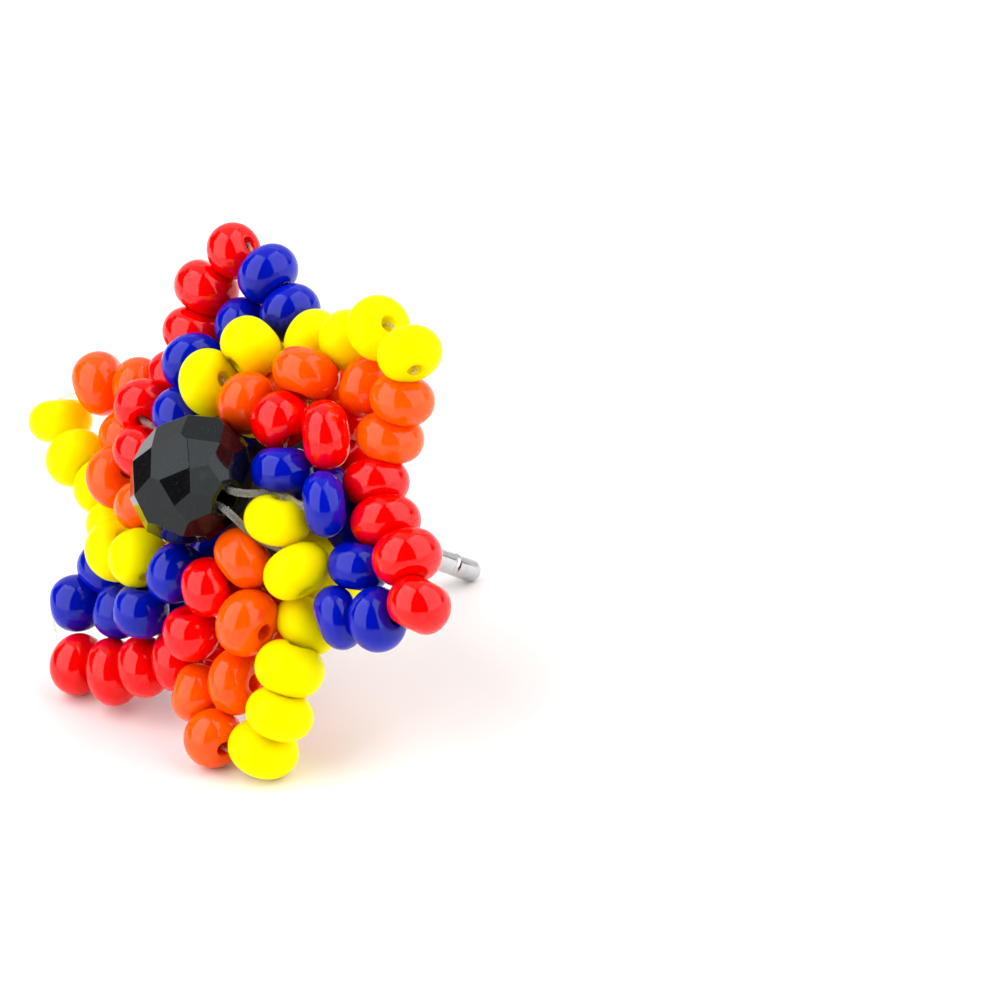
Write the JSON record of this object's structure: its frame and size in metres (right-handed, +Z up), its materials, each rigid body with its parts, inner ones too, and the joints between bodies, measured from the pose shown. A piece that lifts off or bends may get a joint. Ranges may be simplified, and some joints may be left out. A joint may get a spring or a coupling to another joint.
{
  "type": "beaded stud earring",
  "caption": "Six-armed pinwheel star of drilled glass beads sewn round a faceted bead, on a flat pad with a straight ear post.",
  "frame": {"origin": "the floor under the middle of the star and its post, as the earring rests on the tips of its two lower arms and on the end of its post", "axes": "+Z up, +X across the star from left to right as seen from its front, -Y the way the star faces, leaning back"},
  "size_m": [0.0206, 0.0154, 0.0147],
  "materials": {
    "yellow_glass": "opaque glossy",
    "orange_glass": "opaque glossy",
    "red_glass": "opaque glossy",
    "blue_glass": "opaque glossy",
    "black_glass": "cut and polished",
    "steel": "polished",
    "clear_thread": "clear nylon"
  },
  "bodies": {
    "root": {"upper_right_yellow": "yellow_glass", "upper_right_orange": "orange_glass", "right_red": "red_glass", "right_blue": "blue_glass", "lower_yellow": "yellow_glass", "lower_orange": "orange_glass", "lower_left_red": "red_glass", "lower_left_blue": "blue_glass", "upper_left_yellow": "yellow_glass", "upper_left_orange": "orange_glass", "top_red": "red_glass", "top_blue": "blue_glass", "faceted_bead": "black_glass", "ear_stud": "steel", "ring_thread": "clear_thread", "edge_thread": "clear_thread", "centre_thread": "clear_thread"}
  },
  "joints": []
}
